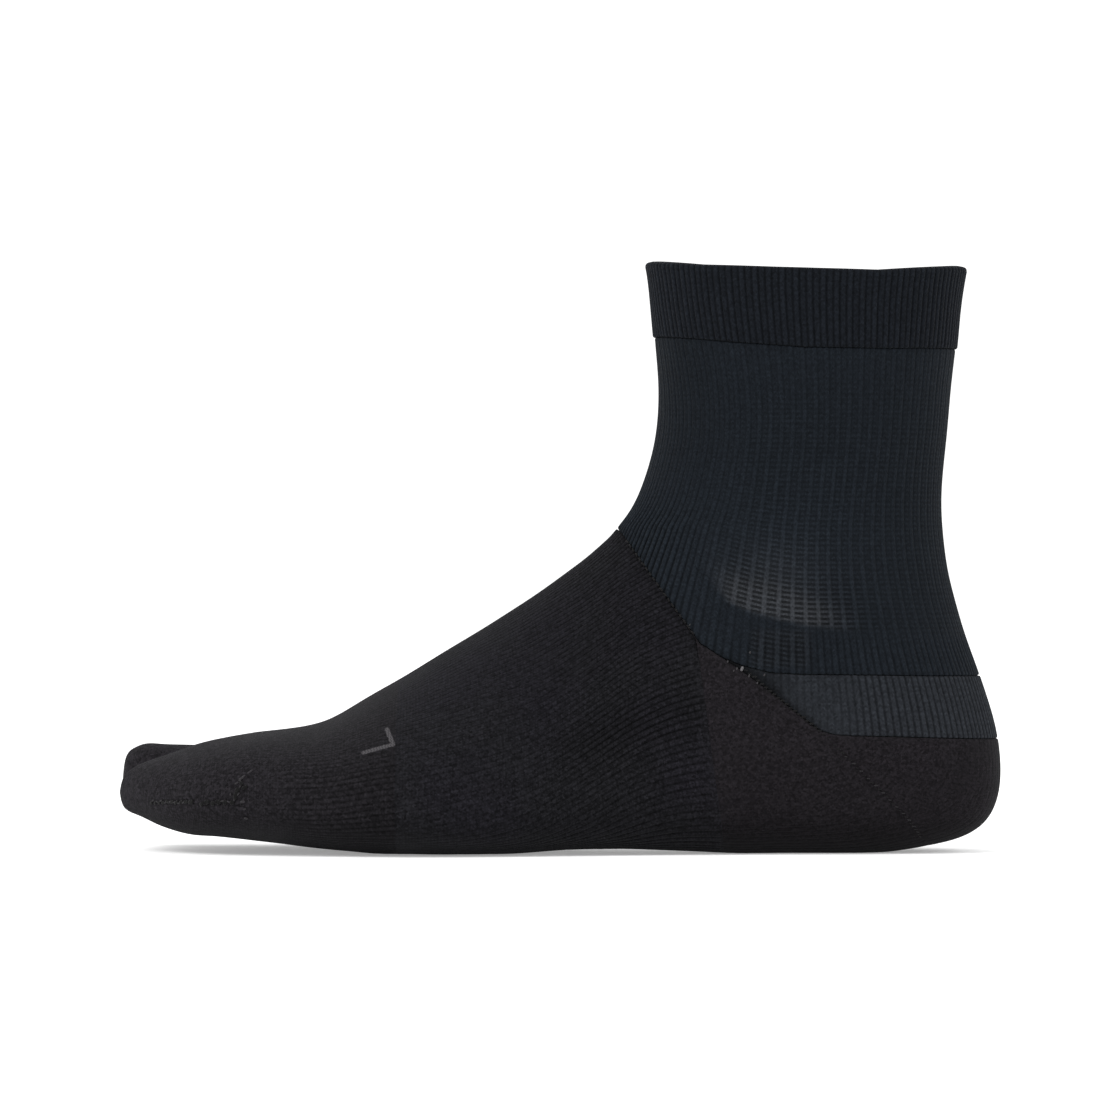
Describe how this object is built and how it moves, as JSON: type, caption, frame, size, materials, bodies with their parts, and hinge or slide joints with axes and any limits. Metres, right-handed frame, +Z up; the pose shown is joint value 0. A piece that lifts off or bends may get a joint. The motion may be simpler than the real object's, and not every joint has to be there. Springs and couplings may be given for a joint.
{
  "type": "tabi sock",
  "caption": "Ankle-length knitted tabi sock for a left foot, ribbed cuff and leg, plain heel cup, with a separate pocket for the big toe, in its worn shape.",
  "frame": {"origin": "on the inside of the sole, under the ankle, where the heel of the foot sits", "axes": "+X from the toes to the heel along the foot, +Y towards the inner (big toe) side, +Z up the leg"},
  "size_m": [0.263, 0.1002, 0.1753],
  "materials": {
    "cuff_knit": "matte blue-black rib knit, doubled",
    "leg_knit": "matte blue-black rib knit with an open mesh over the ankle bone",
    "band_knit": "matte dark grey rib knit",
    "heel_knit": "matte brown-black plain knit",
    "foot_knit": "matte brown-black rib knit",
    "toe_knit": "matte brown-black plain knit, a little lighter"
  },
  "bodies": {
    "root": {"cuff": "cuff_knit", "leg": "leg_knit", "achilles_band": "band_knit", "heel_cup": "heel_knit", "foot_body": "foot_knit", "forefoot": "toe_knit", "four_toe_pocket": "toe_knit", "big_toe_pocket": "toe_knit"}
  },
  "joints": []
}
